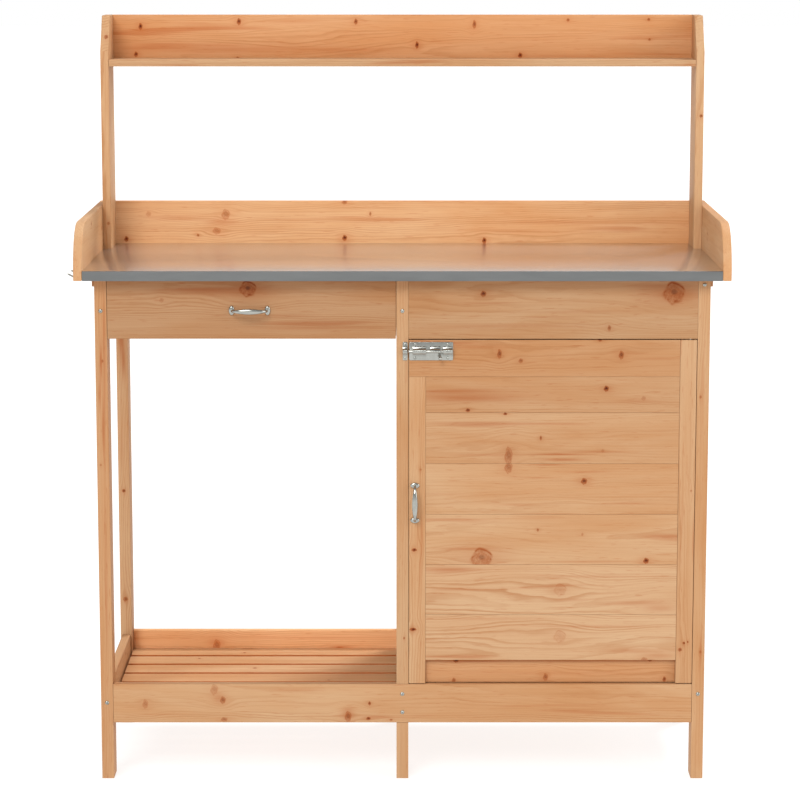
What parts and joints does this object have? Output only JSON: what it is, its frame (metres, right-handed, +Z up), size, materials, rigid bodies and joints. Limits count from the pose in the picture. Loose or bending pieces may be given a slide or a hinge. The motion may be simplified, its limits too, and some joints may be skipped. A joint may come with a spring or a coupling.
{
  "type": "potting bench",
  "caption": "Wooden potting bench with a metal-faced worktop in a raised tray, high rear shelf, drawer, open slatted bay, bolted cabinet door and side hooks.",
  "frame": {"origin": "on the ground under the middle of the bench's overall box", "axes": "+Z up, +Y from the front to the back, +X to the right as seen from the front"},
  "size_m": [1.156, 0.454, 1.332],
  "materials": {
    "fir": "honey-stained fir, satin",
    "fir_inside": "paler fir, satin",
    "zinc_sheet": "galvanised sheet, satin",
    "bright_steel": "bright plated steel"
  },
  "bodies": {
    "frame": {"leg_front_left": "fir", "leg_front_middle": "fir", "leg_front_right": "fir", "leg_back_left": "fir", "leg_back_middle": "fir", "leg_back_right": "fir", "rail_front_lower": "fir", "rail_back_lower": "fir", "rail_back_upper": "fir", "rail_side_left": "fir", "rail_side_right": "fir", "rail_middle": "fir", "worktop_batten_left": "fir", "worktop_batten_right": "fir", "shelf_slat_1": "fir", "shelf_slat_2": "fir", "shelf_slat_3": "fir", "shelf_slat_4": "fir", "shelf_slat_5": "fir", "shelf_slat_6": "fir", "cabinet_floor": "fir", "slat_cleat_left": "fir", "slat_cleat_right": "fir", "worktop_board": "fir", "worktop_sheet": "zinc_sheet", "tray_side_left": "fir", "tray_side_right": "fir", "tray_back": "fir", "upright_left": "fir", "upright_right": "fir", "high_shelf": "fir", "high_shelf_back": "fir", "drawer_runner_left": "fir", "drawer_runner_right": "fir", "cabinet_fascia": "fir", "cabinet_side": "fir", "cabinet_partition": "fir", "cabinet_back": "fir", "door_pivot_rod": "bright_steel", "bolt_keeper": "bright_steel", "tool_hooks": "bright_steel"},
    "drawer": {"drawer_front": "fir", "drawer_side_left": "fir_inside", "drawer_side_right": "fir_inside", "drawer_back": "fir_inside", "drawer_bottom": "fir_inside", "drawer_handle": "bright_steel"},
    "door": {"door_stile_left": "fir", "door_stile_right": "fir", "door_rail_top": "fir", "door_rail_foot": "fir", "door_plank_1": "fir", "door_plank_2": "fir", "door_plank_3": "fir", "door_plank_4": "fir", "door_plank_5": "fir", "door_plank_6": "fir", "door_handle": "bright_steel", "bolt_guide": "bright_steel"},
    "bolt": {"bolt_rod": "bright_steel"}
  },
  "joints": [
    {"name": "drawer_slide", "type": "slide", "parent": "frame", "child": "drawer", "axis": [0, -1, 0], "range_m": [0, 0.28]},
    {"name": "door_swing", "type": "hinge", "parent": "frame", "child": "door", "pos_m": [0.512, -0.197, 0.48], "axis": [0, 0, 1], "range_deg": [0, 110]},
    {"name": "bolt_slide", "type": "slide", "parent": "door", "child": "bolt", "axis": [-1, 0, 0], "range_m": [0, 0.021]}
  ]
}
